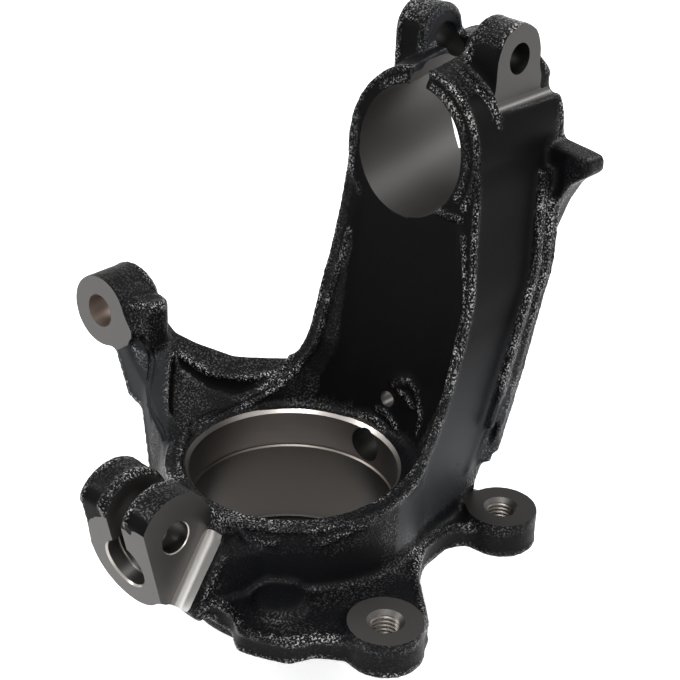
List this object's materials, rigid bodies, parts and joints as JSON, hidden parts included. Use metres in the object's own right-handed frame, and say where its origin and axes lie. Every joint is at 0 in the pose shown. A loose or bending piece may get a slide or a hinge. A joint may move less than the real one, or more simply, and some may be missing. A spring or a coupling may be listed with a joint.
{
  "type": "steering knuckle",
  "caption": "Cast steering knuckle for a strut front axle: bearing ring, tall web with strut clamp, ball joint clamp, steering arm and two caliper ears.",
  "frame": {"origin": "middle of the wheel bearing seat, on the hub axis", "axes": "+Z along the hub axis towards the middle of the car, +Y up the car towards the strut clamp, +X along the car towards the brake caliper ears"},
  "size_m": [0.2146, 0.2141, 0.2295],
  "materials": {
    "coated_cast_iron": "black dip coat on rough cast skin, bores and clamp faces machined bright"
  },
  "bodies": {
    "root": {"knuckle_casting": "coated_cast_iron"}
  },
  "joints": []
}
